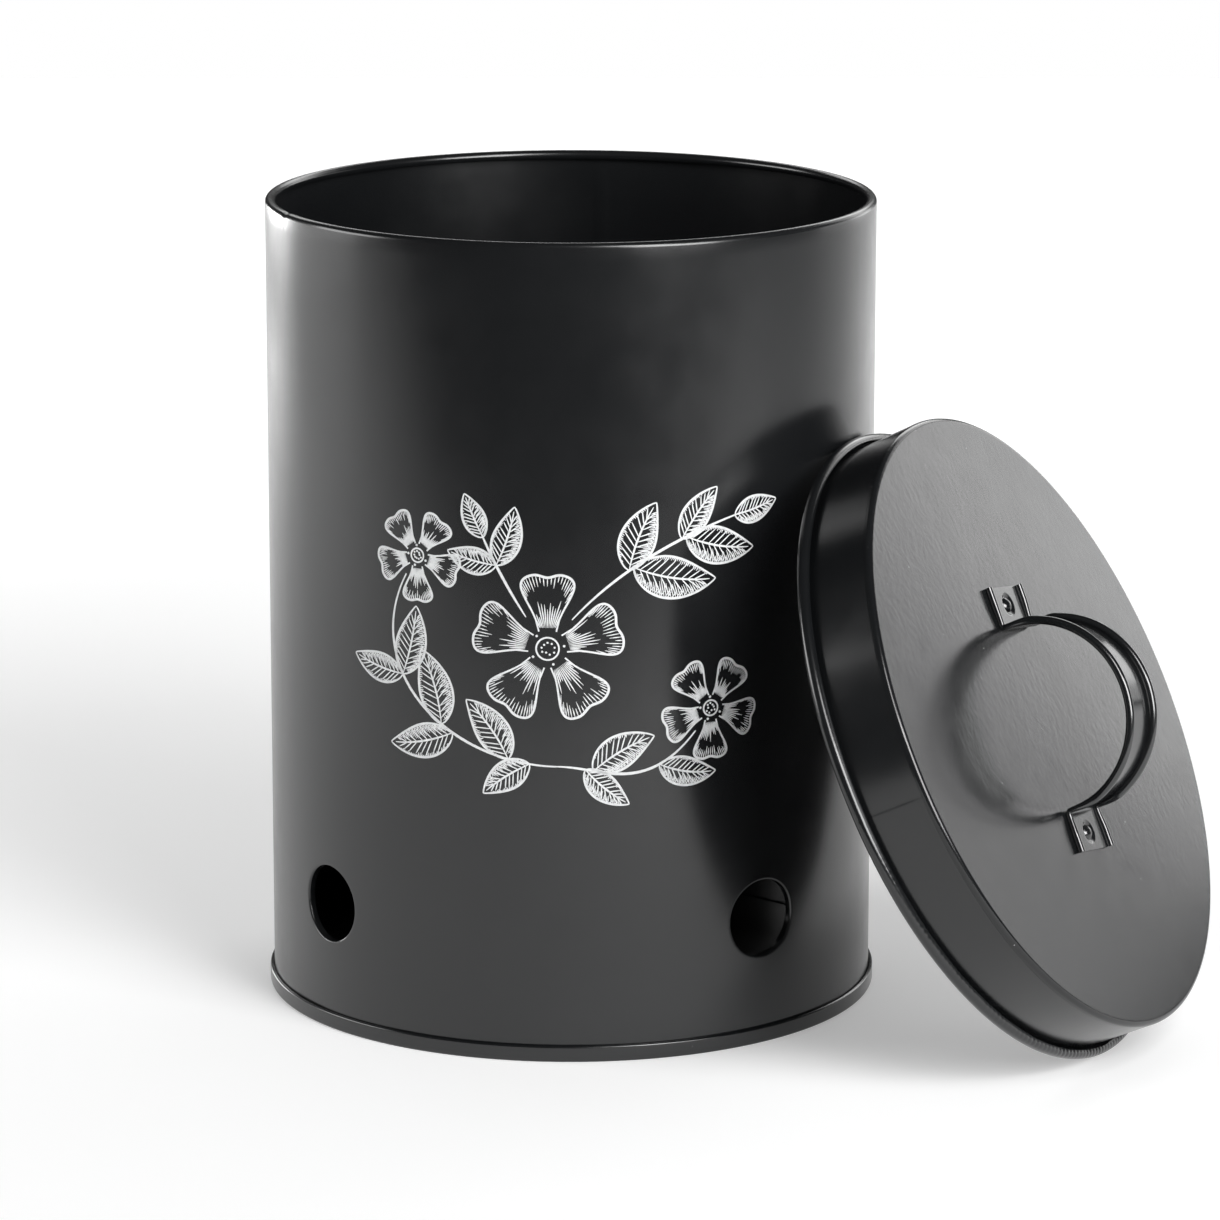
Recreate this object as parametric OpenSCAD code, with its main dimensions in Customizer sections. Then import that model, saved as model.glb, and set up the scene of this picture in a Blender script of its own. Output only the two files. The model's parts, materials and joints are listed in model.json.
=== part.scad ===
// Kitchen storage bin for potatoes: a painted steel drum with a seamed base and four vents,
// and a slip-over lid with a riveted strap handle. The lid is off and leans on the drum's side.
// The origin is the centre of the base on the floor, +Z is up and the front faces -Y.

/* [Drum] */
// Outside diameter of the drum's wall
bin_d = 240; // [180:1:320]
// Height from the floor to the top of the rim
bin_h = 318; // [240:1:420]
// Thickness of the drum's and the lid's sheet
sheet = 0.5; // [0.4:0.05:0.7]
// Outside diameter of the curl along the rim
rim_curl_d = 4; // [3:0.1:6]
// Gap between the rim curl's cut edge and the wall
rim_curl_gap = 0.6; // [0.3:0.1:1]
// Paint gap between two sheets folded into one seam
seam_gap = 0.06; // [0.03:0.01:0.1]

/* [Wall seam] */
// Angle of the wall's upright seam, from +X
wall_seam_angle = 84; // [60:1:120]
// Width of the upright seam
wall_seam_w = 5; // [3:0.1:8]
// Space that the upright seam leaves below the rim curl and above the base panel
wall_seam_end = 3; // [1:0.5:10]
// Width of the fine line that a seam leaves outside
seam_line_w = 0.5; // [0.3:0.05:0.8]
// Depth of that fine line
seam_line_depth = 0.2; // [0.1:0.05:0.25]

/* [Base] */
// Height of the folded seam round the base
base_seam_h = 6.4; // [5:0.1:9]
// Radius of the base seam's two lower corners
base_corner_r = 0.9; // [0.75:0.05:1.1]
// Height of the base panel's top face above the floor
base_panel_z = 5.5; // [4.5:0.1:9]
// Outer radius of the bend between the base panel and its upright edge
base_bend_r = 1.4; // [1:0.1:2.5]

/* [Vents] */
// Diameter of a vent
vent_d = 30; // [12:0.5:40]
// Height of a vent's centre above the floor
vent_z = 50; // [34:1:90]
// Number of vents round the drum
vent_count = 4; // [2:1:6]
// Angle of the first vent, from +X
vent_angle = 38; // [10:1:60]
// Depth of the lip turned in round a vent, from the wall's outside
vent_lip = 3; // [1.5:0.1:5]

/* [Lid] */
// Gap all round between the drum's wall and the lid's skirt
lid_clearance = 3.1; // [1:0.1:4]
// Height of the lid from the hem to its top face
lid_h = 31.2; // [22:0.1:50]
// Outer radius of the fold between the lid's top face and its side
lid_fold_r = 2; // [1.6:0.1:6]
// Length of the panel's flange over the skirt, below the fold
panel_flange_h = 0.8; // [0.8:0.1:3]
// Outside diameter of the curled hem
hem_d = 5; // [4.6:0.1:6]
// Gap between the hem's cut edge and the skirt
hem_gap = 1.7; // [0.8:0.1:2.2]
// Angle of the skirt's lap seam, from the lid's lowest point
lap_angle = -89; // [-90:1:90]
// Width of the lap seam
lap_w = 6; // [3:0.5:12]
// Space that the lap leaves below the panel's flange and above the hem
lap_end = 1.5; // [0.5:0.5:4]

/* [Handle] */
// Radius of the handle's arc, to the middle of its rolled edges
handle_arc_r = 37.9; // [25:0.1:55]
// Spacing of the handle's two rolled edges
handle_edge_spacing = 21.7; // [14:0.1:35]
// Outside diameter of a rolled edge
handle_edge_d = 3.4; // [2.6:0.1:4.6]
// Thickness of the handle's sheet
handle_sheet = 0.6; // [0.4:0.05:0.8]
// Slit left between a rolled edge and the web
handle_slit = 0.4; // [0.2:0.1:0.6]
// Length of a foot beyond the arc
foot_len = 15.8; // [14:0.1:25]
// Width of a foot over its two edges
foot_w = 30; // [24:0.5:40]
// Outside diameter of a foot's rolled edges
foot_edge_d = 2.6; // [2:0.1:3.4]
// Distance from a foot's free end to its rivet
rivet_inset = 7.2; // [6:0.1:8]
// Angle of the handle, from the lid's line of steepest slope
handle_turn = -9.5; // [-90:0.5:90]

/* [Rivets] */
// Diameter of a rivet's shank
rivet_d = 3; // [2:0.1:4]
// Diameter of a rivet's domed head
rivet_head_d = 6; // [5:0.1:6.4]
// Height of a rivet's domed head
rivet_head_h = 1.5; // [0.8:0.1:2]
// Diameter of the tail formed inside the lid
rivet_tail_d = 5.2; // [4.5:0.1:6.4]
// Height of that tail
rivet_tail_h = 1.1; // [0.6:0.1:2]
// Diameter of the dimple round a rivet at its top
dimple_d = 9.2; // [8:0.1:10]
// Diameter of the dimple's flat floor
dimple_floor_d = 6.8; // [6.6:0.1:7.6]
// Depth of the dimple
dimple_depth = 0.7; // [0.3:0.1:1.2]

/* [Lid leaning on the drum] */
// Angle between the lid's axis and the vertical
lean_tilt = 63.9; // [50:0.1:75]
// Direction in which the lid's axis points, from +X
lean_angle = -25.2; // [-60:0.1:60]
// How far round the hem the lid touches the wall, from the hem's highest point
lean_roll = 1; // [-5:0.5:5]
// Gap from the hem to the floor and to the wall
rest_gap = 0.3; // [0.2:0.05:0.5]

/* [Hidden] */

ROUND = 180;
SMALL_ROUND = 48;
// Overlap that joins two solids of one piece, and the overshoot of a cut
MERGE = 0.1;
CUT = 2;
PAINT = "#1d1e20";

bin_r = bin_d / 2;
rim_r = rim_curl_d / 2;
layer = sheet + seam_gap;
fold_in_r = sheet / 2 + seam_gap;
fold_out_r = fold_in_r + sheet;

// The base seam, as radii and heights
seam_r = bin_r + 3 * layer;
chuck_r = bin_r - sheet - seam_gap;
hook_low_z = 2 * sheet + seam_gap + fold_in_r;
hook_top_z = base_seam_h - fold_out_r;

// The lid, in its own frame: z = 0 is its top face, +z its axis
skirt_in_r = bin_r + lid_clearance;
skirt_out_r = skirt_in_r + sheet;
panel_r = skirt_out_r + layer;
fold_mid_r = panel_r - lid_fold_r;
hem_r = hem_d / 2;
hem_mid_r = skirt_in_r + hem_r;
hem_z = hem_r - lid_h;

// The handle, in the lid's frame
edge_r = handle_edge_d / 2;
edge_y = handle_edge_spacing / 2;
foot_edge_r = foot_edge_d / 2;
foot_edge_y = foot_w / 2 - foot_edge_r;
strap_z = seam_gap;
rivet_x = handle_arc_r + foot_len - rivet_inset;
rivet_hole_d = rivet_d + 2 * seam_gap;

// Where the hem's middle lies when the lid leans: out along its axis' direction, and across it
touch_angle = atan(-cos(lean_tilt) * tan(lean_roll));
wall_reach = bin_r + rest_gap + hem_r;
lean_out = wall_reach * cos(touch_angle) + hem_mid_r * cos(lean_roll) * cos(lean_tilt);
lean_across = wall_reach * sin(touch_angle) - hem_mid_r * sin(lean_roll);
lean_z = rest_gap + hem_r + hem_mid_r * sin(lean_tilt);

// A flat strip of sheet in a section, from one corner to the opposite one
module strip(low, high) {
    translate(low)
        square(high - low);
}

// A ring of sheet in a section
module ring(radius, thickness) {
    difference() {
        circle(r = radius, $fn = SMALL_ROUND);
        circle(r = radius - thickness, $fn = SMALL_ROUND);
    }
}

// A quarter ring of sheet, in the quadrant that side names with two signs
module bend(middle, radius, thickness, side) {
    translate(middle)
        intersection() {
            ring(radius, thickness);
            translate([min(side[0], 0) * radius, min(side[1], 0) * radius])
                square(radius);
        }
}

// A half ring of sheet, open downwards at side = 1 and upwards at side = -1
module fold_back(middle, side) {
    bend(middle, fold_out_r, sheet, [-1, side]);
    bend(middle, fold_out_r, sheet, [1, side]);
}

// A ring of sheet curled round to a cut edge: what lies within the gap's rectangle is left out
module curl(middle, radius, gap_low, gap_high) {
    difference() {
        translate(middle)
            ring(radius, sheet);
        strip(gap_low, gap_high);
    }
}

// A tube between two radii and two heights
module tube(inner_r, outer_r, low_z, high_z) {
    translate([0, 0, low_z])
        difference() {
            cylinder(r = outer_r, h = high_z - low_z, $fn = ROUND);
            translate([0, 0, -CUT])
                cylinder(r = inner_r, h = high_z - low_z + 2 * CUT, $fn = ROUND);
        }
}

// A block that stands across a radius at an angle
module radial_block(angle, inner_r, outer_r, width, low_z, high_z) {
    rotate([0, 0, angle])
        translate([inner_r, -width / 2, low_z])
            cube([outer_r - inner_r, width, high_z - low_z]);
}

// A row of round bars that lie along the radii at the vents' places
module vent_bars(diameter) {
    for (i = [0 : vent_count - 1])
        rotate([0, 0, vent_angle + i * 360 / vent_count])
            translate([bin_r / 2, 0, vent_z])
                rotate([0, 90, 0])
                    cylinder(d = diameter, h = bin_r, $fn = ROUND);
}

// The wall's section: hook round the base, upright wall and the curl along the rim
module wall_section() {
    rim_z = bin_h - rim_r;
    hook_x = bin_r + 2 * seam_gap + sheet;
    strip([hook_x, hook_low_z], [hook_x + sheet, hook_top_z - seam_gap]);
    fold_back([bin_r + seam_gap + sheet / 2, hook_low_z], -1);
    strip([bin_r - sheet, hook_low_z], [bin_r, rim_z]);
    curl([bin_r - rim_r, rim_z], rim_r, [bin_r - sheet - rim_curl_gap, rim_z - rim_curl_d], [bin_r + CUT, rim_z]);
}

// The four layers of the upright seam stand inside the wall
module wall_seam() {
    low_z = base_panel_z + wall_seam_end;
    high_z = bin_h - rim_curl_d - wall_seam_end;
    intersection() {
        tube(bin_r - 3 * sheet, bin_r - sheet + MERGE, low_z, high_z);
        radial_block(wall_seam_angle, bin_r / 2, bin_r, wall_seam_w, low_z, high_z);
    }
}

module body_wall() {
    color(PAINT)
        difference() {
            union() {
                rotate_extrude($fn = ROUND)
                    wall_section();
                wall_seam();
                intersection() {
                    tube(bin_r - vent_lip, bin_r - MERGE, 0, bin_h);
                    vent_bars(vent_d + 2 * sheet);
                }
            }
            vent_bars(vent_d);
            rotate([0, 0, asin(wall_seam_w / 2 / bin_r)])
                radial_block(
                    wall_seam_angle, bin_r - seam_line_depth, bin_r + CUT,
                    seam_line_w, base_seam_h, bin_h - rim_curl_d
                );
        }
}

// The pan's section: flat panel, upright edge, the ring that it stands on and the fold over the wall's hook
module pan_section() {
    edge_x = chuck_r - sheet;
    wall_x = seam_r - sheet;
    cover_x = bin_r + seam_gap;
    strip([0, base_panel_z - sheet], [chuck_r - base_bend_r, base_panel_z]);
    bend([chuck_r - base_bend_r, base_panel_z - base_bend_r], base_bend_r, sheet, [1, 1]);
    strip([edge_x, base_corner_r], [chuck_r, base_panel_z - base_bend_r]);
    bend([edge_x + base_corner_r, base_corner_r], base_corner_r, sheet, [-1, -1]);
    strip([edge_x + base_corner_r, 0], [seam_r - base_corner_r, sheet]);
    bend([seam_r - base_corner_r, base_corner_r], base_corner_r, sheet, [1, -1]);
    strip([wall_x, base_corner_r], [seam_r, hook_top_z]);
    fold_back([(cover_x + seam_r) / 2, hook_top_z], 1);
    strip([cover_x, hook_low_z + seam_gap], [cover_x + sheet, hook_top_z]);
}

module base_pan() {
    color(PAINT)
        rotate_extrude($fn = ROUND)
            pan_section();
}

// Puts a solid from the lid's frame where the lid leans
module leaning() {
    rotate([0, 0, lean_angle])
        translate([lean_out, lean_across, lean_z])
            rotate([0, lean_tilt, 0])
                translate([0, 0, -hem_z])
                    children();
}

// Repeats its children at the handle's two rivets
module at_rivets() {
    for (side = [-1, 1])
        rotate([0, 0, handle_turn])
            translate([side * rivet_x, 0, 0])
                children();
}

// A dimple's cone, with its wide end at a height
module dimple_cone(top_z) {
    translate([0, 0, top_z - dimple_depth])
        cylinder(d1 = dimple_floor_d, d2 = dimple_d, h = dimple_depth, $fn = SMALL_ROUND);
}

// What a dimple takes out of a sheet: the cone from its top face and the rivet's hole
module dimple_cut(top_z) {
    dimple_cone(top_z);
    translate([0, 0, top_z - CUT * 2])
        cylinder(d = rivet_hole_d, h = CUT * 3, $fn = SMALL_ROUND);
}

// The panel's section: flat disc, fold and the short flange over the skirt
module panel_section() {
    strip([0, -sheet], [fold_mid_r, 0]);
    bend([fold_mid_r, -lid_fold_r], lid_fold_r, sheet, [1, 1]);
    strip([panel_r - sheet, -lid_fold_r - panel_flange_h], [panel_r, -lid_fold_r]);
}

module lid_panel() {
    color(PAINT)
        leaning()
            difference() {
                union() {
                    rotate_extrude($fn = ROUND)
                        panel_section();
                    at_rivets()
                        dimple_cone(-sheet);
                }
                at_rivets()
                    dimple_cut(0);
            }
}

// The skirt's section: top edge turned in under the panel's fold, band and the hem curled outwards
module skirt_section() {
    bend([fold_mid_r, -lid_fold_r], lid_fold_r - layer, sheet, [1, 1]);
    strip([skirt_in_r, hem_z], [skirt_out_r, -lid_fold_r]);
    curl([hem_mid_r, hem_z], hem_r, [skirt_in_r - CUT, hem_z], [skirt_out_r + hem_gap, hem_z + hem_d]);
}

module lid_skirt() {
    lap_top_z = -lid_fold_r - lap_end;
    color(PAINT)
        leaning()
            difference() {
                union() {
                    rotate_extrude($fn = ROUND)
                        skirt_section();
                    intersection() {
                        tube(skirt_in_r - sheet, skirt_in_r + MERGE, hem_z + lap_end, lap_top_z);
                        radial_block(lap_angle, bin_r / 2, skirt_out_r, lap_w, hem_z + lap_end, lap_top_z);
                    }
                }
                radial_block(
                    lap_angle, skirt_out_r - seam_line_depth, skirt_out_r + CUT,
                    seam_line_w, hem_z + hem_r + seam_gap, -lid_fold_r - panel_flange_h
                );
            }
}

// The strap's section: a web on y = 0 and an edge of a given radius rolled at each side
module strap_section(half_spacing, radius) {
    strip([-half_spacing, 0], [half_spacing, handle_sheet]);
    for (side = [-1, 1])
        difference() {
            translate([side * half_spacing, radius])
                ring(radius, handle_sheet);
            translate([side * (half_spacing - radius / 2), handle_sheet + handle_slit / 2])
                square([radius, handle_slit], center = true);
        }
}

// One foot of the handle: the corner below the arc's end and the wider straight foot
module handle_foot() {
    translate([handle_arc_r, 0, edge_r]) {
        rotate([90, 0, 0])
            translate([0, 0, -edge_y])
                linear_extrude(height = handle_edge_spacing)
                    bend([0, 0], edge_r, handle_sheet, [-1, -1]);
        for (side = [-1, 1])
            translate([0, side * edge_y, 0])
                sphere(r = edge_r, $fn = SMALL_ROUND);
    }
    translate([handle_arc_r, 0, 0])
        rotate([90, 0, 90])
            linear_extrude(height = foot_len)
                strap_section(foot_edge_y, foot_edge_r);
}

module handle_strap() {
    color(PAINT)
        leaning()
            difference() {
                union() {
                    rotate([0, 0, handle_turn])
                        translate([0, 0, strap_z]) {
                            translate([0, 0, edge_r])
                                rotate([90, 0, 0])
                                    rotate_extrude(angle = 180, $fn = ROUND)
                                        translate([handle_arc_r - edge_r, 0])
                                            rotate(-90)
                                                strap_section(edge_y, edge_r);
                            handle_foot();
                            mirror([1, 0, 0])
                                handle_foot();
                        }
                    at_rivets()
                        dimple_cone(strap_z);
                }
                at_rivets()
                    dimple_cut(strap_z + handle_sheet);
            }
}

// A cap of a sphere that stands on z = 0
module dome(diameter, height) {
    ball_r = (diameter * diameter / 4 + height * height) / (2 * height);
    intersection() {
        translate([0, 0, height - ball_r])
            sphere(r = ball_r, $fn = SMALL_ROUND);
        cylinder(d = diameter + CUT, h = height + CUT, $fn = SMALL_ROUND);
    }
}

// One rivet: a domed head in the strap's dimple, a shank and a tail formed inside the lid
module rivet(side) {
    head_z = strap_z + handle_sheet - dimple_depth + seam_gap;
    tail_z = -sheet - dimple_depth - seam_gap;
    leaning()
        rotate([0, 0, handle_turn])
            translate([side * rivet_x, 0, 0]) {
                translate([0, 0, head_z])
                    dome(rivet_head_d, rivet_head_h);
                translate([0, 0, tail_z - MERGE])
                    cylinder(d = rivet_d, h = head_z - tail_z + 2 * MERGE, $fn = SMALL_ROUND);
                translate([0, 0, tail_z])
                    mirror([0, 0, 1])
                        dome(rivet_tail_d, rivet_tail_h);
            }
}

module rivet_upper() {
    color(PAINT)
        rivet(-1);
}

module rivet_lower() {
    color(PAINT)
        rivet(1);
}

body_wall();
base_pan();
lid_panel();
lid_skirt();
handle_strap();
rivet_upper();
rivet_lower();
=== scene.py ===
"""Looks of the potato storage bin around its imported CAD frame: powder-coated sheet steel, a white print
on the front, the lid leaning on the drum, a pale floor and soft studio light."""

import json
import math
import random

import bmesh
import bpy
import numpy as np
from mathutils import Matrix, Vector, geometry

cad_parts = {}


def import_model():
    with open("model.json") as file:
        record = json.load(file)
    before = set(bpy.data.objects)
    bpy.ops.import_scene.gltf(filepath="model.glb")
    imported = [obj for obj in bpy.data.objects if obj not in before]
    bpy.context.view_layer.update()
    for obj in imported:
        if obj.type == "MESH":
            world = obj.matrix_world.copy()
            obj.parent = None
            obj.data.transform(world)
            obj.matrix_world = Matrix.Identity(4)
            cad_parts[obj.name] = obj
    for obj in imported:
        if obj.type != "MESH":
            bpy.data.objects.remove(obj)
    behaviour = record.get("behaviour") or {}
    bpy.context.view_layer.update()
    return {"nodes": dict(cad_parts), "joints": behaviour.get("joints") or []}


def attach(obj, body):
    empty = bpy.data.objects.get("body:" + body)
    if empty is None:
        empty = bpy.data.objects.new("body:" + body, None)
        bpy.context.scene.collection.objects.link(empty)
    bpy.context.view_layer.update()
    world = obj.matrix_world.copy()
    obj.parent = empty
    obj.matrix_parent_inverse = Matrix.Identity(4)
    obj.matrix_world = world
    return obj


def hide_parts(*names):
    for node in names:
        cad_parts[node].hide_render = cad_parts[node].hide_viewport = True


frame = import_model()

MM = 0.001

# The drum, in millimetres
DRUM_R = 120.0
DRUM_H = 318.0
SHEET = 0.5
LAYER = 0.56
RIM_R = 2.0
RIM_GAP = 0.6
WALL_FOOT_Z = 1.7
VENT_R = 15.0
VENT_Z = 50.0
VENT_LIP = 3.0
VENT_BEND = 0.9
VENT_ANGLES = (38.0, 128.0, 218.0, 308.0)
PATCH_CELLS = 16
PATCH_H = 48.0
PATCH_TURN = 12.0
SEAM_ANGLE = 84.0
SEAM_W = 5.0
SEAM_SHOW = 0.15
SEAM_EASE = 3.0
SEAM_GROOVE = 0.2
SEAM_COLUMNS = (-4, -3.5, -3, -2.5, -2, -1.5, -1, 0, 1, 1.5, 2.15, 2.5, 2.7, 2.9, 3.5, 4)
COLUMN_STEP = 1.5
RIM_LOW = 0.005
NICK_ANGLE = 203.0
NICK_DEPTH = 0.4
NICK_W = 2.2
NICK_COLUMNS = range(-4, 5)
WALL_SINK = 0.05

# The base's seam, in millimetres
CHUCK_R = 119.44
SEAM_R = 121.68
COVER_R = 120.06
SEAM_FOLD_R = 0.81
SEAM_TOP = 5.59
COVER_FOOT = 1.43
PAN_Z = 5.5
PAN_BEND_R = 1.4
FOOT_BEND_R = 0.9

# The print on the front, in millimetres
INK_PROUD = 0.05
PRINT_SHIFT = -3.0

# The lid, in millimetres from the middle of its top face
LID_R = 124.16
LID_FOLD_R = 2.0
LID_FLANGE = 0.8
LID_FLAT_R = 121.6
SKIRT_R = 123.6
HEM_R = 2.5
HEM_Z = -28.7
HEM_GAP = 1.7
SKIRT_TAPER = 0.54
LAP_ANGLE = -89.75
LAP_STEP = 0.12
LAP_FADE = 6.0
LAP_EDGE = 0.4
CRIMPS = 280
CRIMP_DEPTH = 0.42
CRIMP_TURN = 9.0
CRIMPS_DEEPEST = -10.0

# The handle, in millimetres from the middle of the lid's top face
ARC_R = 37.9
ARC_EDGE_R = 1.7
ARC_EDGE_Y = 10.85
FOOT_END = 53.7
FOOT_EDGE_R = 1.3
FOOT_EDGE_Y = 13.7
ROOT_EDGE_R = 1.1
ROOT_EDGE_Y = 13.1
ROOT_BEND_R = 2.4
STRAP = 0.6
STRAP_Z = 0.06
RIVET_X = 46.5
DIMPLE_R = 4.6
DIMPLE_FLOOR_R = 3.4
DIMPLE_DEPTH = 0.7


def arc(middle, radius, start, end, steps):
    """Points of an arc in a plane, from one angle to another, in degrees."""
    angles = np.radians(np.linspace(start, end, steps + 1))
    return [(middle[0] + radius * math.cos(a), middle[1] + radius * math.sin(a)) for a in angles]


def span(start, end, steps):
    """Evenly spaced values from start to end, both included."""
    return list(np.linspace(start, end, steps + 1))


def quads(rows, cols, wrap_rows, wrap_cols):
    """Faces of a grid of vertices that may close on itself either way."""
    faces = []
    for i in range(rows if wrap_rows else rows - 1):
        for j in range(cols if wrap_cols else cols - 1):
            k, m = (i + 1) % rows, (j + 1) % cols
            faces.append((i * cols + j, k * cols + j, k * cols + m, i * cols + m))
    return faces


def ease(t):
    """0 to 1 with soft ends."""
    t = np.clip(t, 0, 1)
    return t * t * (3 - 2 * t)


def add_piece(name, points_mm, faces, body, material, replaced=(), sharp=35):
    """A mesh piece that rides on a CAD body. Its points are millimetres in the row frame."""
    mesh = bpy.data.meshes.new(name)
    mesh.from_pydata((np.asarray(points_mm, float) * MM).tolist(), [], faces)
    shape = bmesh.new()
    shape.from_mesh(mesh)
    bmesh.ops.remove_doubles(shape, verts=shape.verts, dist=1e-7)
    bmesh.ops.recalc_face_normals(shape, faces=shape.faces)
    shape.to_mesh(mesh)
    shape.free()
    mesh.polygons.foreach_set("use_smooth", [True] * len(mesh.polygons))
    mesh.set_sharp_from_angle(angle=math.radians(sharp))
    mesh.materials.append(material)
    piece = bpy.data.objects.new(name, mesh)
    bpy.context.scene.collection.objects.link(piece)
    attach(piece, body)
    if replaced:
        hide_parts(*replaced)
    return piece


def node_points(node):
    """A CAD node's vertices as an array, in metres."""
    mesh = frame["nodes"][node].data
    co = np.zeros(len(mesh.vertices) * 3)
    mesh.vertices.foreach_get("co", co)
    return co.reshape(-1, 3)


class LidPlace:
    """Where the lid lies: its axis, the two directions in its face, and the middle of its top face."""

    def __init__(self):
        points = node_points("lid_panel") / MM
        self.axis = np.array(frame["joints"][0]["axis"], float)
        self.axis /= np.linalg.norm(self.axis)
        self.across = np.cross((0, 0, 1), self.axis)
        self.across /= np.linalg.norm(self.across)
        self.down = np.cross(self.across, self.axis)
        self.middle = sum(
            d * ((points @ d).max() + (points @ d).min()) / 2 for d in (self.across, self.down)
        )
        self.middle = self.middle + self.axis * (points @ self.axis).max()
        upper, lower = (node_points(n).mean(0) for n in ("rivet_upper", "rivet_lower"))
        self.along = upper - lower
        self.along /= np.linalg.norm(self.along)
        self.handle_across = np.cross(self.axis, self.along)

    def lid_points(self, r, angle, z):
        """Points at a radius, an angle from the lid's lowest point and a height along its axis."""
        r, angle, z = np.broadcast_arrays(r, angle, z)
        return (
            self.middle
            + (r * np.cos(angle))[..., None] * self.down
            + (r * np.sin(angle))[..., None] * self.across
            + z[..., None] * self.axis
        )

    def handle_points(self, x, y, z):
        """Points along the handle, across it and up from the lid's top face."""
        x, y, z = np.broadcast_arrays(x, y, z)
        return (
            self.middle
            + x[..., None] * self.along
            + y[..., None] * self.handle_across
            + z[..., None] * self.axis
        )


place = LidPlace()


# Materials


def node_tree(name):
    material = bpy.data.materials.new(name)
    material.use_nodes = True
    tree = material.node_tree
    return material, tree, tree.nodes["Principled BSDF"]


def noise_height(tree, scale, detail=2.0, stretch=(1, 1, 1)):
    """The value of a noise over the piece's own coordinates, in cycles per metre."""
    place_node = tree.nodes.new("ShaderNodeTexCoord")
    mapping = tree.nodes.new("ShaderNodeMapping")
    mapping.inputs["Scale"].default_value = stretch
    noise = tree.nodes.new("ShaderNodeTexNoise")
    noise.inputs["Scale"].default_value = scale
    noise.inputs["Detail"].default_value = detail
    tree.links.new(place_node.outputs["Object"], mapping.inputs["Vector"])
    tree.links.new(mapping.outputs["Vector"], noise.inputs["Vector"])
    return noise.outputs["Fac"]


def ramp(tree, value, low, high, start=0.3, end=0.7):
    """A colour ramp between two colours."""
    node = tree.nodes.new("ShaderNodeValToRGB")
    node.color_ramp.elements[0].position = start
    node.color_ramp.elements[1].position = end
    node.color_ramp.elements[0].color = (*low, 1)
    node.color_ramp.elements[1].color = (*high, 1)
    tree.links.new(value, node.inputs["Fac"])
    return node.outputs["Color"]


def to_range(tree, value, low, high, start=0.3, end=0.7):
    """A value mapped to a range."""
    node = tree.nodes.new("ShaderNodeMapRange")
    for key, number in (("From Min", start), ("From Max", end), ("To Min", low), ("To Max", high)):
        node.inputs[key].default_value = number
    tree.links.new(value, node.inputs["Value"])
    return node.outputs["Result"]


def bump(tree, value, height_mm, before=None):
    """A bump of a height in millimetres, laid over an earlier one."""
    node = tree.nodes.new("ShaderNodeBump")
    node.inputs["Distance"].default_value = height_mm * MM
    node.inputs["Strength"].default_value = 1.0
    tree.links.new(value, node.inputs["Height"])
    if before:
        tree.links.new(before, node.inputs["Normal"])
    return node.outputs["Normal"]


def powder_coat(name, roughness, peel_mm, dust=0.0, seed=0.0, ior=1.5, peel_scale=420, run=1.0):
    """Black powder coat on steel: an orange peel, slow changes in gloss and a few specks of dust.

    A run over 1 draws the peel out down the sheet.
    """
    material, tree, shader = node_tree(name)
    slow = noise_height(tree, 14 + seed, 3)
    colour = ramp(tree, slow, (0.0062, 0.0068, 0.0075), (0.0092, 0.0098, 0.0105))
    if dust:
        speck = noise_height(tree, 900 + seed, 1)
        mask = to_range(tree, speck, 0, dust, 0.80, 0.86)
        mix = tree.nodes.new("ShaderNodeMix")
        mix.data_type = "RGBA"
        mix.inputs["B"].default_value = (0.35, 0.35, 0.35, 1)
        tree.links.new(mask, mix.inputs["Factor"])
        tree.links.new(colour, mix.inputs["A"])
        colour = mix.outputs["Result"]
    tree.links.new(colour, shader.inputs["Base Color"])
    gloss = noise_height(tree, 60 + seed, 4)
    tree.links.new(to_range(tree, gloss, roughness - 0.02, roughness + 0.02), shader.inputs["Roughness"])
    peel = bump(tree, noise_height(tree, peel_scale + seed, 2, (1, 1, 1 / run)), peel_mm)
    fine = bump(tree, noise_height(tree, 1900 + seed, 1), peel_mm * 0.12, peel)
    tree.links.new(fine, shader.inputs["Normal"])
    shader.inputs["IOR"].default_value = ior
    return material


def ink():
    """White screen ink, a little uneven."""
    material, tree, shader = node_tree("print_ink")
    tone = noise_height(tree, 700, 3)
    tree.links.new(ramp(tree, tone, (0.70, 0.71, 0.72), (0.84, 0.85, 0.85)), shader.inputs["Base Color"])
    tree.links.new(to_range(tree, tone, 0.42, 0.55), shader.inputs["Roughness"])
    return material


DRUM_COAT = powder_coat("drum_coat", 0.23, 0.004, ior=1.6)
BASE_COAT = powder_coat("base_coat", 0.20, 0.004, dust=0.5, seed=3, ior=1.6)
LID_COAT = powder_coat("lid_coat", 0.17, 0.025, dust=0.8, seed=7, peel_scale=360, run=1.35)
SKIRT_COAT = powder_coat("skirt_coat", 0.20, 0.005, seed=11, ior=1.58)
HANDLE_COAT = powder_coat("handle_coat", 0.17, 0.004, seed=17, ior=1.75)
INK = ink()


def finish_cad_node(name, material):
    """A carried-over CAD node gets its finish."""
    node = frame["nodes"][name]
    node.data.materials.clear()
    node.data.materials.append(material)


# The drum's wall


def wall_angles():
    """Angles of the wall's columns in degrees: even steps, finer at the upright seam and the rim's nick."""
    per_mm = math.degrees(1 / DRUM_R)
    fine = [SEAM_ANGLE + x * per_mm for x in SEAM_COLUMNS]
    fine += [NICK_ANGLE + x * per_mm for x in NICK_COLUMNS]
    clear = 4.3 * per_mm
    even = [
        a for a in (VENT_ANGLES[0] + COLUMN_STEP * np.arange(int(360 / COLUMN_STEP))) % 360
        if abs(a - SEAM_ANGLE) > clear and abs(a - NICK_ANGLE) > clear
    ]
    return np.array(sorted(even + fine))


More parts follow.
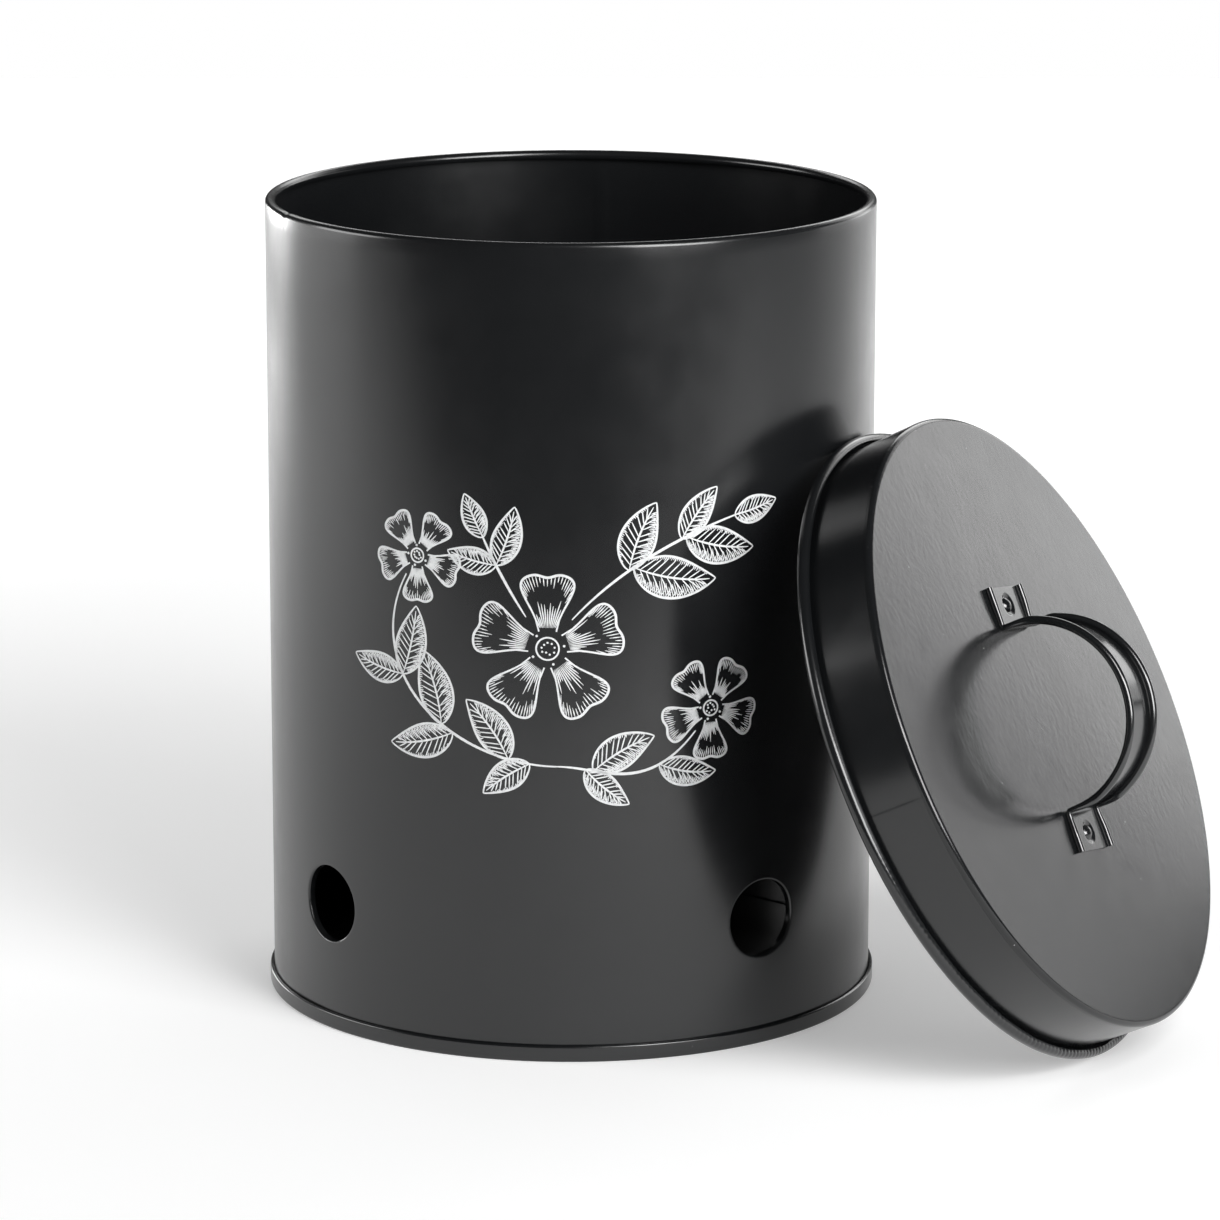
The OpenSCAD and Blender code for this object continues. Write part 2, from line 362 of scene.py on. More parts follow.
def wall_profile():
    """Radius, height and side of the wall's closed section: 1 outside, -1 inside, 0 on the rim."""
    low, high = VENT_Z - PATCH_H / 2, VENT_Z + PATCH_H / 2
    top = DRUM_H - RIM_R
    heights = span(WALL_FOOT_Z, low, 6) + span(low, high, PATCH_CELLS)[1:] + span(high, top, 46)[1:]
    rim_mid = (DRUM_R - RIM_R, top)
    edge_angle = 360 - math.degrees(math.acos((RIM_R - SHEET - RIM_GAP) / RIM_R))
    outside = [(DRUM_R, z, 1) for z in heights]
    rim = [(r, z, 0) for r, z in arc(rim_mid, RIM_R, 0, edge_angle, 26)[1:]]
    rim += [(r, z, 0) for r, z in arc(rim_mid, RIM_R - SHEET, edge_angle, 0, 22)[:-1]]
    inside = [(DRUM_R - SHEET, z, -1) for z in reversed(heights)]
    return outside + rim + inside


def wall_give(angle, z):
    """How far hand-rolled sheet sinks in from a true cylinder, in millimetres."""
    fade = np.clip((z - 8) / 40, 0, 1) * np.clip((DRUM_H - 4 - z) / 30, 0, 1)
    wave = 1 + 0.5 * np.sin(3 * angle + 0.6)
    wave = wave + 0.3 * np.sin(7 * angle + z / 90) + 0.2 * np.sin(13 * angle - z / 60)
    return WALL_SINK * fade * wave


def seam_rise(off_mm):
    """How far the upright seam stands in at a distance from its middle, from 0 to 1, under its paint."""
    return float(ease(((SEAM_W + SEAM_EASE) / 2 - abs(off_mm)) / SEAM_EASE))


def rim_dent(angle):
    """How far the rim is low, in millimetres: a little all round, and more at a nick on the left front."""
    off_mm = (angle - math.radians(NICK_ANGLE)) * DRUM_R
    return RIM_LOW + NICK_DEPTH * math.exp(-(off_mm / NICK_W) ** 2)


def drum_wall():
    angles = np.radians(wall_angles())
    profile = wall_profile()
    count = len(profile)
    seam_off = (np.degrees(angles) - SEAM_ANGLE) * math.radians(1) * DRUM_R
    points = []
    for a, off in zip(angles, seam_off):
        for r, z, side in profile:
            if side == -1 and 9 < z < DRUM_H - 8:
                r -= SEAM_SHOW * seam_rise(off)
            if side == 0 and z > DRUM_H / 2:
                z -= rim_dent(a)
            if side == 1 and abs(off - SEAM_W / 2) < 0.1 and z > 6.5:
                r -= SEAM_GROOVE
            r -= wall_give(a, z)
            points.append((r * math.cos(a), r * math.sin(a), z))
    faces = quads(len(angles), count, True, True)

    z_rows = {1: [], -1: []}
    for j, (_, z, side) in enumerate(profile):
        if side and abs(z - VENT_Z) < PATCH_H / 2 + 0.01:
            z_rows[side].append(j)
    z_rows[-1].reverse()
    removed = set()
    for vent in VENT_ANGLES:
        first = int(np.argmin(abs(np.degrees(angles) - (vent - PATCH_TURN))))
        cols = [first + i for i in range(PATCH_CELLS + 1)]
        for rows in z_rows.values():
            removed |= {i * count + min(rows[j], rows[j + 1]) for i in cols[:-1] for j in range(PATCH_CELLS)}
        loops = [
            [k * count + rows[0] for k in cols[:-1]]
            + [cols[-1] * count + row for row in rows[:-1]]
            + [k * count + rows[-1] for k in cols[:0:-1]]
            + [cols[0] * count + row for row in rows[:0:-1]]
            for rows in (z_rows[1], z_rows[-1])
        ]
        faces += vent_faces(points, loops, math.radians(vent))
    kept = [f for k, f in enumerate(faces) if not (k < len(angles) * count and k in removed)]
    kept, points = drop_unused(kept, points)
    return add_piece(
        "drum_wall", points, kept, "bin", DRUM_COAT, ["body_wall"]
    )


def drop_unused(faces, points):
    """The same faces over only the points that they use."""
    used = sorted({k for f in faces for k in f})
    new = {k: i for i, k in enumerate(used)}
    return [tuple(new[k] for k in f) for f in faces], [points[k] for k in used]


def vent_faces(points, loops, vent):
    """Adds the rings of one vent, from outside through the lip to the inside, and returns their faces."""
    outer = np.array([points[k] for k in loops[0]])
    turn = np.arctan2(outer[:, 1], outer[:, 0]) - vent
    turn = (turn + math.pi) % (2 * math.pi) - math.pi
    rise = outer[:, 2] - VENT_Z
    around = np.arctan2(rise, DRUM_R * np.sin(turn))
    bend_in = VENT_BEND - SHEET
    rings = [(s, VENT_R + VENT_BEND, 0) for s in (0.25, 0.5, 0.7, 0.85, 0.94, 1)]
    rings += [(1, r, d) for r, d in [
        (VENT_R + VENT_BEND * (1 - math.sin(a)), VENT_BEND * (1 - math.cos(a)))
        for a in np.radians([15, 30, 45, 60, 75, 90])
    ]]
    rings += [(1, VENT_R, 1.9), (1, VENT_R, VENT_LIP - 0.12), (1, VENT_R + 0.12, VENT_LIP)]
    rings += [(1, VENT_R + SHEET - 0.12, VENT_LIP), (1, VENT_R + SHEET, VENT_LIP - 0.12)]
    rings += [(1, VENT_R + SHEET, SHEET + bend_in)]
    rings += [(1, r, d) for r, d in [
        (VENT_R + SHEET + bend_in * (1 - math.cos(a)), SHEET + bend_in * (1 - math.sin(a)))
        for a in np.radians([30, 60, 90])
    ]]
    rings += [(s, VENT_R + VENT_BEND, SHEET) for s in (0.9, 0.7, 0.4)]
    previous = loops[0]
    faces = []
    give = wall_give(np.arctan2(outer[:, 1], outer[:, 0]), outer[:, 2])
    for s, radius, depth in rings:
        wall_r = DRUM_R - depth
        circle_turn = np.arcsin(radius * np.cos(around) / wall_r)
        mixed_turn = vent + turn * (1 - s) + circle_turn * s
        mixed_rise = rise * (1 - s) + radius * np.sin(around) * s
        start = len(points)
        for a, z, g in zip(mixed_turn, mixed_rise + VENT_Z, give):
            reach = wall_r - g
            points.append((reach * math.cos(a), reach * math.sin(a), z))
        ring = list(range(start, len(points)))
        faces += band(previous, ring)
        previous = ring
    return faces + band(previous, loops[1])


def band(first, second):
    """Quads between two closed rings of the same number of points."""
    count = len(first)
    return [(first[i], first[(i + 1) % count], second[(i + 1) % count], second[i]) for i in range(count)]


# The print on the front: a spray of leaves and blossoms drawn with engraver's strokes


class Drawing:
    """Strokes on the drum's front, in millimetres across from its middle and up from the floor."""

    def __init__(self):
        self.points = []
        self.faces = []
        self.hand = random.Random(11)

    def stroke(self, line, width, taper=0.35):
        """A line whose width swells in the middle and thins to a share of it at the ends."""
        line = np.array(line, float)
        along = np.gradient(line, axis=0)
        along /= np.linalg.norm(along, axis=1)[:, None] + 1e-9
        side = np.stack([-along[:, 1], along[:, 0]], 1)
        t = np.linspace(0, 1, len(line))
        half = width / 2 * (taper + (1 - taper) * np.sin(math.pi * t) ** 0.6)
        start, count = len(self.points), len(line)
        self.points += list(line + side * half[:, None]) + list(line - side * half[:, None])
        for i in range(count - 1):
            k = start + i
            self.faces.append((k, k + 1, k + 1 + count, k + count))

    def dot(self, middle, radius):
        """A round dot."""
        start = len(self.points)
        self.points += [
            (middle[0] + radius * math.cos(a), middle[1] + radius * math.sin(a))
            for a in np.radians(np.arange(0, 360, 30))
        ]
        self.faces.append(tuple(range(start, start + 12)))

    def leaf(self, base, heading, length, width, curl, veins=9):
        """A leaf with a midrib, veins and one hatched half."""
        t = np.linspace(0, 1, 41)
        turn = np.radians(heading + curl * t)
        step = length / 40
        x = base[0] + np.concatenate([[0], np.cumsum(np.cos(turn[:-1]) * step)])
        y = base[1] + np.concatenate([[0], np.cumsum(np.sin(turn[:-1]) * step)])
        spine = np.stack([x, y], 1)
        side = np.stack([-np.sin(turn), np.cos(turn)], 1)
        half = width / 2 * np.sin(math.pi * t ** 0.8) ** 0.85
        edges = [spine + side * half[:, None] * sign for sign in (1, -1)]
        for edge in edges:
            self.stroke(edge, 0.95, 0.5)
        self.stroke(spine[:38], 0.8, 0.3)
        for i in range(veins):
            k = 3 + int(30 * i / veins)
            for edge in edges:
                tip = edge[min(40, k + 7)]
                share = np.linspace(0, self.hand.uniform(0.82, 0.95), 6)[:, None]
                self.stroke(spine[k] + (tip - spine[k]) * share, 0.5, 0.35)
        hatches = int(length * 1.25)
        for i in range(hatches):
            k = 2 + int(35 * i / hatches)
            for edge, lowest, highest, back in ((edges[1], 0.4, 0.85, 4), (edges[0], 0.12, 0.3, 3)):
                tip = edge[k]
                aim = spine[max(0, k - back)]
                share = self.hand.uniform(lowest, highest)
                self.stroke([tip, tip + (aim - tip) * share * 0.5, tip + (aim - tip) * share], 0.46, 0.3)
            if i % 2 == 0 and k < 34:
                tip = edges[1][k]
                aim = spine[min(40, k + 5)]
                share = self.hand.uniform(0.25, 0.5)
                self.stroke([tip, tip + (aim - tip) * share * 0.5, tip + (aim - tip) * share], 0.4, 0.3)

    def blossom(self, middle, radius, turn):
        """Five hatched petals round a ring of stamens."""
        middle = np.array(middle, float)
        for i in range(5):
            heading = math.radians(turn + 72 * i)
            out = np.array([math.cos(heading), math.sin(heading)])
            side = np.array([-out[1], out[0]])
            t = np.linspace(-1, 1, 61)
            reach = radius * (0.23 + 0.77 * (1 - np.abs(t) ** 2.4) ** 0.62)
            reach -= radius * 0.05 * np.exp(-(t / 0.14) ** 2)
            spread = radius * 0.52 * np.sin(t * math.pi / 2) * (0.22 + 0.78 * (1 - np.abs(t) ** 3))
            edge = middle + reach[:, None] * out + spread[:, None] * side
            self.stroke(edge, 1.0, 0.6)
            for j in range(-6, 7):
                lean = j / 6.6
                run = np.linspace(0.28, self.hand.uniform(0.48, 0.74) - 0.02 * abs(j), 6)
                line = middle + radius * (run[:, None] * out + (0.5 * lean * run[:, None] ** 1.2) * side)
                self.stroke(line, 0.5, 0.25)
            for j in range(-11, 12):
                tip = edge[30 + j * 2]
                aim = middle + out * radius * 0.3
                share = self.hand.uniform(0.14, 0.34)
                self.stroke([tip, tip + (aim - tip) * share * 0.5, tip + (aim - tip) * share], 0.45, 0.3)
        ring = np.radians(np.arange(0, 361, 12))
        self.stroke(middle + radius * 0.15 * np.stack([np.cos(ring), np.sin(ring)], 1), 0.7, 0.9)
        for i in range(9):
            a = math.radians(turn + 40 * i)
            away = np.array([math.cos(a), math.sin(a)])
            self.dot(middle + away * radius * self.hand.uniform(0.05, 0.1), 0.42)
            if i % 2:
                self.dot(middle + away * radius * 0.22, 0.5)

    def spray(self, controls, gaps, leaves):
        """A stem through four control points, broken where blossoms cover it, with leaves along it."""
        p = np.array(controls, float)
        t = np.linspace(0, 1, 90)[:, None]
        stem = (1 - t) ** 3 * p[0] + 3 * t * (1 - t) ** 2 * p[1]
        stem = stem + 3 * t * t * (1 - t) * p[2] + t ** 3 * p[3]
        run = []
        for point in stem:
            if any(math.dist(point, gap[:2]) < gap[2] for gap in gaps):
                if len(run) > 3:
                    self.stroke(run, 1.1, 0.45)
                run = []
            else:
                run.append(point)
        if len(run) > 3:
            self.stroke(run, 1.1, 0.35)
        for place_on, turn, length, width, curl in leaves:
            k = int(place_on * 88)
            ahead = stem[k + 1] - stem[k]
            heading = math.degrees(math.atan2(ahead[1], ahead[0])) + turn
            self.leaf(stem[k], heading, length, width, curl)


def front_print():
    art = Drawing()
    blossoms = [(-6, 163, 29.0, 90), (-58, 196, 18.0, 54), (58, 137, 20.0, 54)]
    for x, z, radius, turn in blossoms:
        art.blossom((x, z), radius, turn)
    gaps = [(x, z, radius * 0.5) for x, z, radius, _ in blossoms]
    art.spray(
        [(-2, 117), (-42, 117), (-92, 150), (-58, 196)], gaps,
        [(0.10, 34, 22, 11, 18), (0.16, -52, 28, 13, 26), (0.36, 56, 28, 13, -24), (0.40, -50, 30, 14, 24),
         (0.62, 60, 24, 11, -20), (0.62, -48, 28, 13, 16)],
    )
    art.spray(
        [(-2, 117), (16, 117), (34, 102), (58, 137)], gaps,
        [(0.20, -40, 22, 10, 22), (0.26, 52, 27, 13, -26), (0.70, -52, 24, 11, 30)],
    )
    art.spray(
        [(-6, 163), (16, 193), (44, 206), (72, 212)], gaps,
        [(0.44, 46, 28, 14, -24), (0.46, -56, 34, 16, 26), (0.70, 38, 24, 11, -16), (0.72, -46, 30, 14, 24),
         (0.97, -6, 20, 10, 10)],
    )
    art.spray(
        [(-6, 163), (-18, 180), (-26, 194), (-32, 208)], gaps,
        [(0.70, 58, 20, 10, -18), (0.70, -54, 24, 11, 18), (0.95, 4, 18, 9, -8)],
    )
    across, height = np.array(art.points).T
    angle = math.radians(-90) + (across + PRINT_SHIFT) / DRUM_R
    reach = DRUM_R - wall_give(angle, height) + INK_PROUD
    points = np.stack([reach * np.cos(angle), reach * np.sin(angle), height], 1)
    return add_piece("front_print", points, art.faces, "bin", INK)


# The base


def base_pan():
    fold_mid = ((COVER_R + SEAM_R) / 2, SEAM_TOP)
    bend_mid = (CHUCK_R - PAN_BEND_R, PAN_Z - PAN_BEND_R)
    inner_foot = (CHUCK_R - SHEET + FOOT_BEND_R, FOOT_BEND_R)
    outer_foot = (SEAM_R - FOOT_BEND_R, FOOT_BEND_R)
    thin = FOOT_BEND_R - SHEET
    profile = [(r, PAN_Z) for r in (0, 30, 60, 90, 110)]
    profile += arc(bend_mid, PAN_BEND_R, 90, 0, 8)
    profile += arc(inner_foot, thin, 180, 270, 4) + arc(outer_foot, thin, 270, 360, 4)
    profile += arc(fold_mid, SEAM_FOLD_R - SHEET, 0, 180, 8)
    profile += [(COVER_R + SHEET, COVER_FOOT), (COVER_R, COVER_FOOT)]
    profile += arc(fold_mid, SEAM_FOLD_R, 180, 0, 14) + [(SEAM_R, z) for z in (4.5, 3.0, 1.8)]
    profile += arc(outer_foot, FOOT_BEND_R, 0, -90, 8) + arc(inner_foot, FOOT_BEND_R, 270, 180, 6)
    profile += arc(bend_mid, PAN_BEND_R - SHEET, 0, 90, 6)
    profile += [(r, PAN_Z - SHEET) for r in (110, 90, 60, 30, 0)]
    turns = np.radians(span(0, 360, 480)[:-1])
    r, z = np.array(profile).T
    points = np.stack(
        [np.outer(np.cos(turns), r), np.outer(np.sin(turns), r), np.tile(z, (len(turns), 1))], -1
    )
    faces = quads(len(turns), len(r), True, False)
    return add_piece("base_seamed", points.reshape(-1, 3), faces, "bin", BASE_COAT, ["base_pan"])


# The lid's panel


def flat_disc(rings):
    """Triangles between an outer ring of points in a plane and the rings of holes inside it."""
    points = [Vector(p) for ring in rings for p in ring]
    edges, start = [], 0
    for ring in rings:
        edges += [(start + i, start + (i + 1) % len(ring)) for i in range(len(ring))]
        start += len(ring)
    found, _, faces, origin, _, _ = geometry.delaunay_2d_cdt(points, edges, [], 0, 1e-5)
    source = [o[0] for o in origin]
    holes = [(sum((Vector(p) for p in ring), Vector((0, 0))) / len(ring), DIMPLE_R) for ring in rings[1:]]
    kept = []
    for face in faces:
        middle = sum((found[k] for k in face), Vector((0, 0))) / len(face)
        if all((middle - centre).length > radius for centre, radius in holes):
            kept.append(tuple(source[k] for k in face))
    return kept


def lid_panel():
    steps, small = 480, 64
    turns = np.radians(span(0, 360, steps)[:-1])
    fold_mid = (LID_R - LID_FOLD_R, -LID_FOLD_R)
    low = -LID_FOLD_R - LID_FLANGE
    profile = [(LID_FLAT_R, 0)] + arc(fold_mid, LID_FOLD_R, 90, 0, 18)
    profile += [(LID_R, low + 0.03), (LID_R - 0.03, low), (LID_R - SHEET, low)]
    profile += arc(fold_mid, LID_FOLD_R - SHEET, 0, 90, 10) + [(LID_FLAT_R, -SHEET)]
    r, z = np.array(profile).T
    x, y = np.outer(np.cos(turns), r).ravel(), np.outer(np.sin(turns), r).ravel()
    z = np.tile(z, steps)
    faces = quads(steps, len(r), True, False)
    around = np.radians(span(0, 360, small)[:-1])
    outer = [(LID_FLAT_R * math.cos(a), LID_FLAT_R * math.sin(a)) for a in turns]
    dimples = [
        [(side * RIVET_X + DIMPLE_R * math.cos(a), DIMPLE_R * math.sin(a)) for a in around]
        for side in (1, -1)
    ]
    triangles = flat_disc([outer] + dimples)
    xs, ys, zs = list(x), list(y), list(z)
    for top, last in ((0.0, 0), (-SHEET, len(r) - 1)):
        loops = [[i * len(r) + last for i in range(steps)]]
        for side in (1, -1):
            rows = []
            for radius, depth in ((DIMPLE_R, 0), (DIMPLE_FLOOR_R, DIMPLE_DEPTH)):
                rows.append(list(range(len(xs), len(xs) + small)))
                xs += [side * RIVET_X + radius * math.cos(a) for a in around]
                ys += [radius * math.sin(a) for a in around]
                zs += [top - depth] * small
            faces += band(rows[0], rows[1]) + [tuple(rows[1])]
            loops.append(rows[0])
        index = [k for loop in loops for k in loop]
        faces += [tuple(index[k] for k in face) for face in triangles]
    points = place.handle_points(np.array(xs), np.array(ys), np.array(zs))
    return add_piece("lid_top", points, faces, "lid", LID_COAT, ["lid_panel"], sharp=30)


# The lid's skirt


def teeth(angle):
    """1 in the crimps of the hem's cut edge and 0 between them: uneven, and faint on the lid's upper half."""
    wave = np.cos(angle * (CRIMPS / 2)) ** 2
    uneven = 0.6 + 0.25 * np.sin(angle * 31 + 1) + 0.15 * np.sin(angle * 73)
    low = 0.05 + 0.95 * np.clip(np.cos(angle - math.radians(CRIMPS_DEEPEST)), 0, 1) ** 2
    return (wave ** 2) * uneven * low


def lap_step(angle):
    """How far the skirt stands in beside its lapped end, in millimetres."""
    off = (angle - math.radians(LAP_ANGLE) + math.pi) % (2 * math.pi) - math.pi
    off_mm = off * SKIRT_R
    return LAP_STEP * np.exp(np.clip(off_mm, None, 0) / LAP_FADE) * (0.5 - 0.5 * np.tanh(off_mm / LAP_EDGE))


def lid_skirt():
    steps = 1720
    angles = np.linspace(0, 2 * math.pi, steps, endpoint=False)
    fold_mid = (LID_R - LID_FOLD_R, -LID_FOLD_R)
    fold_out = LID_FOLD_R - LAYER
    hem_mid = (SKIRT_R - SHEET + HEM_R, HEM_Z)
    inner = SKIRT_R - SHEET
    flange_z = -LID_FOLD_R - LID_FLANGE
    heights = span(flange_z - 0.02, HEM_Z, 10)
    turns_out = np.linspace(0, 1, 23)
    profile = [(x, z, 0) for x, z in arc(fold_mid, fold_out - SHEET, 90, 0, 5)]
    profile += [(inner, z, 0) for z in heights[:-1]]
    edge = math.degrees(math.acos((SKIRT_R + HEM_GAP - hem_mid[0]) / HEM_R))
    profile += [(HEM_R, 180 + t * (180 + edge), 1) for t in turns_out]
    profile += [(HEM_R - SHEET, 180 + t * (180 + edge), 1) for t in turns_out[::-1]]
    profile += [(SKIRT_R, z, 2) for z in heights[::-1][1:]] + [(SKIRT_R, flange_z - 0.01, 0)]
    profile += [(x, z, 2) for x, z in arc(fold_mid, fold_out, 0, 90, 6)]
    tooth = teeth(angles)
    step = lap_step(angles)
    columns = []
    for first, second, kind in profile:
        if kind == 1:
            share = max(0.0, (second - 350) / (10 + edge))
            radius = first - CRIMP_DEPTH * tooth * share ** 1.5
            turn = np.radians(second - CRIMP_TURN * tooth * share)
            r = hem_mid[0] + radius * np.cos(turn)
            z = hem_mid[1] + radius * np.sin(turn)
            r = r - step * 0.8
        else:
            z = np.full(steps, second)
            fade = np.clip((flange_z - second) / 2, 0, 1)
            out = SKIRT_TAPER * (second - HEM_Z) / (flange_z - HEM_Z)
            r = first + (out - step * fade if kind == 2 else 0)
        columns.append(place.lid_points(r, angles, z))
    points = np.stack(columns, 1).reshape(-1, 3)
    faces = quads(steps, len(profile), True, True)
    return add_piece(
        "lid_skirt_hemmed", points, faces, "lid", SKIRT_COAT, ["lid_skirt"], sharp=50
    )


# The handle


def strap_stations():
    """The strap's line from one foot's end to the other: place, direction and the rolled edges' size."""
    under_r = ARC_R - ARC_EDGE_R
    arc_z = STRAP_Z + ARC_EDGE_R
    bend_mid = (under_r + ROOT_BEND_R, STRAP_Z + ROOT_BEND_R)
    half = []
    for x in span(FOOT_END, bend_mid[0] + 0.4, 50):
        share = ease((FOOT_END - x) / (FOOT_END - bend_mid[0]) * 1.6 - 0.6)
        edge_r = FOOT_EDGE_R + (ROOT_EDGE_R - FOOT_EDGE_R) * share
        edge_y = FOOT_EDGE_Y + (ROOT_EDGE_Y - FOOT_EDGE_Y) * share
        half.append((x, STRAP_Z, 90.0, edge_r, edge_y))
    for a in span(270, 182, 9):
        x, z = arc(bend_mid, ROOT_BEND_R, a, a, 1)[0]
        half.append((x, z, a - 180, ROOT_EDGE_R, ROOT_EDGE_Y))
    start = math.degrees(math.asin((bend_mid[1] - arc_z) / under_r))
    for a in span(start + 0.6, 90, 60):
        x, z = under_r * math.cos(math.radians(a)), arc_z + under_r * math.sin(math.radians(a))
        share = ease((a - start) / 16)
        edge_r = ROOT_EDGE_R + (ARC_EDGE_R - ROOT_EDGE_R) * share
        edge_y = ROOT_EDGE_Y + (ARC_EDGE_Y - ROOT_EDGE_Y) * share
        half.append((x, z, a, edge_r, edge_y))
    other = [(-x, z, 180 - a, r, y) for x, z, a, r, y in half[-2::-1]]
    return half + other


def strap_section(edge_r, edge_y):
    """Across and up from the web's underside: the web and a rolled edge at each side, closed."""
    meet = math.degrees(math.asin((STRAP - edge_r) / edge_r))
    right = arc((edge_y, edge_r), edge_r, -90, 180 - meet, 22)
    web_end = right[-1][0]
    top = [(y, STRAP) for y in np.linspace(web_end, -web_end, 72)[1:-1]]
    left = [(-y, z) for y, z in right[::-1]]
    bottom = [(y, 0.0) for y in np.linspace(-edge_y, edge_y, 72)[1:-1]]
    return right + top + left + bottom


def handle_strap():
    columns = []
    for x, z, turn, edge_r, edge_y in strap_stations():
        section = np.array(strap_section(edge_r, edge_y))
        up_x, up_z = math.cos(math.radians(turn)), math.sin(math.radians(turn))
        px = x + section[:, 1] * up_x
        pz = z + section[:, 1] * up_z
        py = section[:, 0]
        from_rivet = np.hypot(np.abs(px) - RIVET_X, py)
        sunk = np.clip((DIMPLE_R - from_rivet) / (DIMPLE_R - DIMPLE_FLOOR_R), 0, 1)
        pz = pz - DIMPLE_DEPTH * sunk * (pz < 1.0)
        columns.append(place.handle_points(px, py, pz))
    rows, cols = len(columns), len(columns[0])
    points = np.concatenate(columns)
    faces = quads(rows, cols, False, True)
    faces.append(tuple(range(cols)))
    faces.append(tuple(range((rows - 1) * cols, rows * cols))[::-1])
    return add_piece(
        "handle_rolled", points, faces, "lid", HANDLE_COAT, ["handle_strap"], sharp=50
    )


drum_wall()
base_pan()
front_print()
lid_panel()
lid_skirt()
handle_strap()
finish_cad_node("rivet_upper", HANDLE_COAT)
finish_cad_node("rivet_lower", HANDLE_COAT)


# The studio: the photograph's width and focal length in its own points, and the camera's place in metres
# and its turn downward, to the right and about its own line, in degrees

PHOTO_POINTS = 1220
FOCAL_POINTS = 5647.9
CAMERA_PLACE = (0, -2.1968, 0.6595)
CAMERA_TURN = (13.049, 0.403, 0.05)


def plain(name, colour, strength):
    """A matt surface that glows for the camera and in reflections, besides the light that falls on it."""
    material, tree, shader = node_tree(name)
    shader.inputs["Roughness"].default_value = 0.9
    tone = noise_height(tree, 3, 2)
    tree.links.new(ramp(tree, tone, [c * 0.98 for c in colour], colour), shader.inputs["Base Color"])
    path = tree.nodes.new("ShaderNodeLightPath")
    seen = path.outputs["Is Camera Ray"]
    for other in ("Is Glossy Ray", "Is Transmission Ray"):
        most = tree.nodes.new("ShaderNodeMath")
        most.operation = "MAXIMUM"
        tree.links.new(seen, most.inputs[0])
        tree.links.new(path.outputs[other], most.inputs[1])
        seen = most.outputs[0]
    glow = tree.nodes.new("ShaderNodeMath")
    glow.operation = "MULTIPLY"
    glow.inputs[1].default_value = strength
    tree.links.new(seen, glow.inputs[0])
    tree.links.new(glow.outputs[0], shader.inputs["Emission Strength"])
    shader.inputs["Emission Color"].default_value = (1, 1, 1, 1)
    return material


def floor():
    mesh = bpy.data.meshes.new("floor")
    x, front, back = 3.0, -0.75, 2.7
    mesh.from_pydata([(-x, front, 0), (x, front, 0), (x, back, 0), (-x, back, 0)], [], [(0, 1, 2, 3)])
    mesh.materials.append(plain("floor_white", (0.82, 0.82, 0.82), 0.29))
    obj = bpy.data.objects.new("floor", mesh)
    bpy.context.scene.collection.objects.link(obj)


def lamp(name, where, toward, size, power):
    """An area lamp at one point, in metres, that faces another."""
    data = bpy.data.lights.new(name, "AREA")
    data.shape = "RECTANGLE"
    data.size, data.size_y = size
    data.energy = power
    obj = bpy.data.objects.new(name, data)
    obj.location = where
    obj.rotation_mode = "QUATERNION"
    obj.rotation_quaternion = (Vector(where) - Vector(toward)).to_track_quat("Z", "Y")
    obj.visible_camera = False
    bpy.context.scene.collection.objects.link(obj)


def lamp_round(name, azimuth, elevation, distance, size, power):
    """A lamp that faces the object from an azimuth (0 in front, 90 to the right) and an elevation."""
    a, e = math.radians(azimuth), math.radians(elevation)
    middle = Vector((0.03, 0, 0.15))
    away = Vector((math.sin(a) * math.cos(e), -math.cos(a) * math.cos(e), math.sin(e)))
    lamp(name, middle + away * distance, middle, size, power)


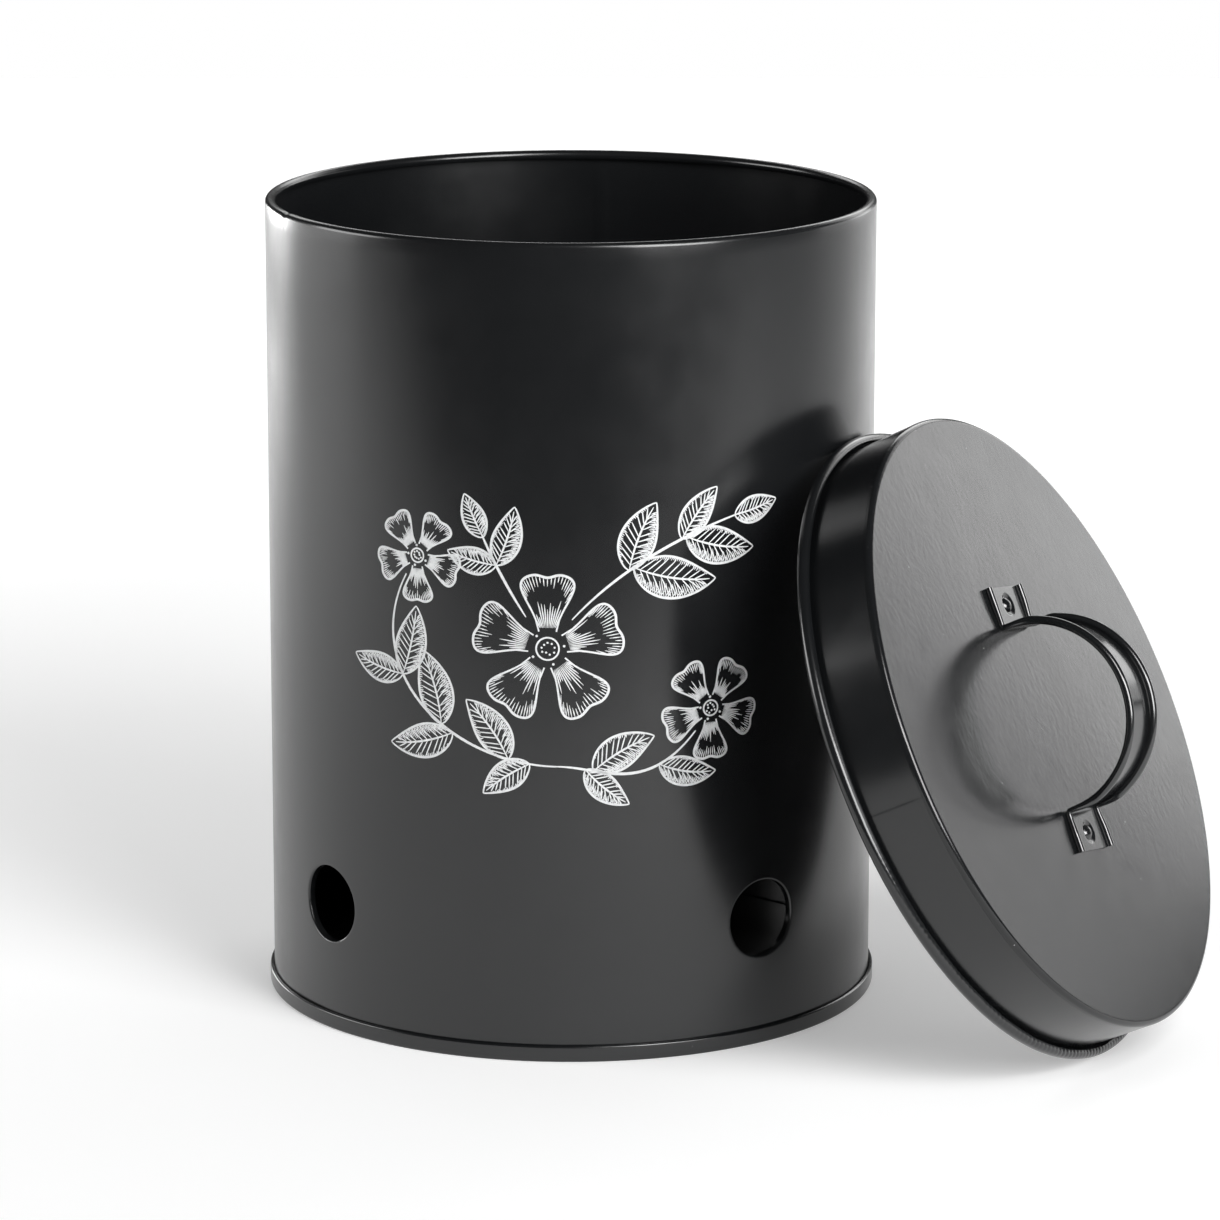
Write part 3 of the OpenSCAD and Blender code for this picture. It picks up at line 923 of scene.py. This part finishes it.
def world(strength):
    scene_world = bpy.data.worlds.new("studio")
    bpy.context.scene.world = scene_world
    scene_world.use_nodes = True
    tree = scene_world.node_tree
    background = tree.nodes["Background"]
    background.inputs["Color"].default_value = (1, 1, 1, 1)
    path = tree.nodes.new("ShaderNodeLightPath")
    mix = tree.nodes.new("ShaderNodeMapRange")
    mix.inputs["To Min"].default_value = strength
    mix.inputs["To Max"].default_value = 1.0
    tree.links.new(path.outputs["Is Camera Ray"], mix.inputs["Value"])
    tree.links.new(mix.outputs["Result"], background.inputs["Strength"])


def camera():
    """The photograph's camera, fitted to the drum's outlines."""
    data = bpy.data.cameras.new("camera")
    data.sensor_width = 36
    data.lens = FOCAL_POINTS / PHOTO_POINTS * data.sensor_width
    obj = bpy.data.objects.new("camera", data)
    pitch, yaw, roll = (math.radians(a) for a in CAMERA_TURN)
    forward = Vector((math.sin(yaw) * math.cos(pitch), math.cos(yaw) * math.cos(pitch), -math.sin(pitch)))
    right = forward.cross(Vector((0, 0, 1))).normalized()
    up = right.cross(forward)
    tilted_right = right * math.cos(roll) + up * math.sin(roll)
    tilted_up = up * math.cos(roll) - right * math.sin(roll)
    turn = Matrix((tilted_right, tilted_up, -forward)).transposed()
    obj.matrix_world = Matrix.Translation(CAMERA_PLACE) @ turn.to_4x4()
    data.clip_end = 100
    bpy.context.scene.collection.objects.link(obj)
    bpy.context.scene.camera = obj


floor()
world(0.04)
lamp_round("key_low", 37, 20, 1.7, (0.9, 0.8), 26)
lamp_round("key_high", 25, 38, 1.7, (0.6, 0.6), 9.5)
lamp_round("left", -90, 15, 1.6, (0.9, 0.6), 9.5)
lamp_round("left_floor", -109, 2, 1.5, (1.4, 0.28), 1.8)
lamp_round("left_rear", -138, 2, 1.6, (0.7, 0.25), 5.8)
lamp_round("right", 113, 6, 1.65, (0.62, 0.4), 1)
lamp_round("right_rear", 137, 7.5, 1.65, (0.68, 0.5), 3)
lamp_round("right_high", 146, 29, 1.65, (1.15, 0.6), 2.5)
lamp("right_floor", (1.0, 1.3, 0.8), (1.0, 1.3, 0), (0.8, 0.8), 4)
lamp("backdrop", (0, 2.4, 1.4), (0, 2.4, 0), (2.4, 1.6), 31)
camera()
bpy.context.scene.view_settings.view_transform = "Standard"
